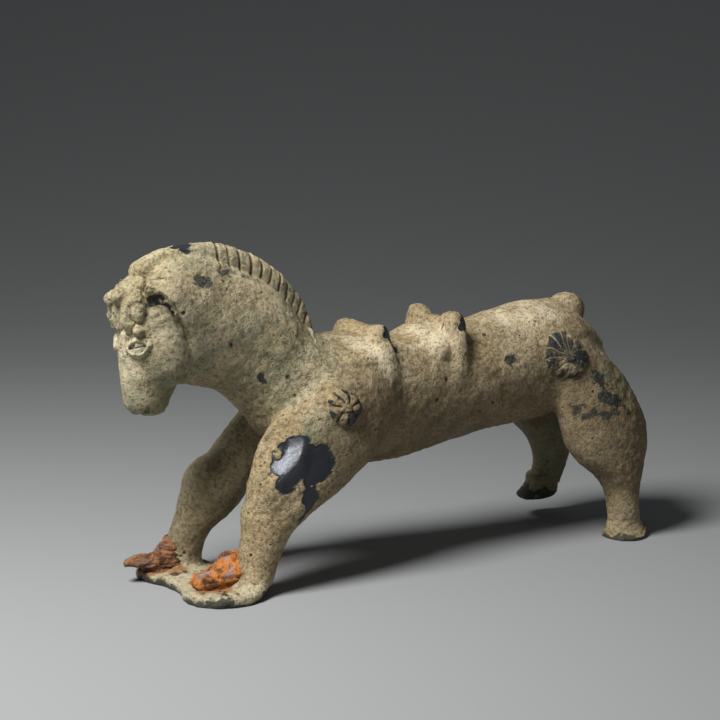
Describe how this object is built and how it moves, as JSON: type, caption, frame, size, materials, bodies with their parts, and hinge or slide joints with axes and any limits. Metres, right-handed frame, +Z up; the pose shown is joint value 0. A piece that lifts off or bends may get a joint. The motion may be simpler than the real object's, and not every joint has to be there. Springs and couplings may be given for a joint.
{
  "type": "horse statuette",
  "caption": "Cast bronze horse braced forward on a sole plate, with cut mane, saddle with pommel and cantle, rosettes, stub tail and rusted iron fixings.",
  "frame": {"origin": "on the ground plane, at the middle of the whole figure's length and width", "axes": "+Z up; the head looks along -X; the horse's left side is -Y"},
  "size_m": [0.1598, 0.0468, 0.0887],
  "materials": {
    "bronze": "corroded, tan and grey-green crust over dark metal",
    "iron": "rusted, flaky orange-brown"
  },
  "bodies": {
    "root": {"trunk": "bronze", "neck": "bronze", "head": "bronze", "mane_crest": "bronze", "forelock": "bronze", "ear_left": "bronze", "ear_right": "bronze", "eye_left": "bronze", "eye_right": "bronze", "foreleg_left": "bronze", "foreleg_right": "bronze", "front_sole_plate": "bronze", "iron_fixing_left": "iron", "iron_fixing_right": "iron", "hind_leg_left": "bronze", "hind_leg_right": "bronze", "hind_hoof_left": "bronze", "hind_hoof_right": "bronze", "saddle_pommel": "bronze", "saddle_cantle": "bronze", "tail_stump": "bronze", "rosette_shoulder_left": "bronze", "rosette_shoulder_right": "bronze", "rosette_haunch_left": "bronze", "rosette_haunch_right": "bronze"}
  },
  "joints": []
}
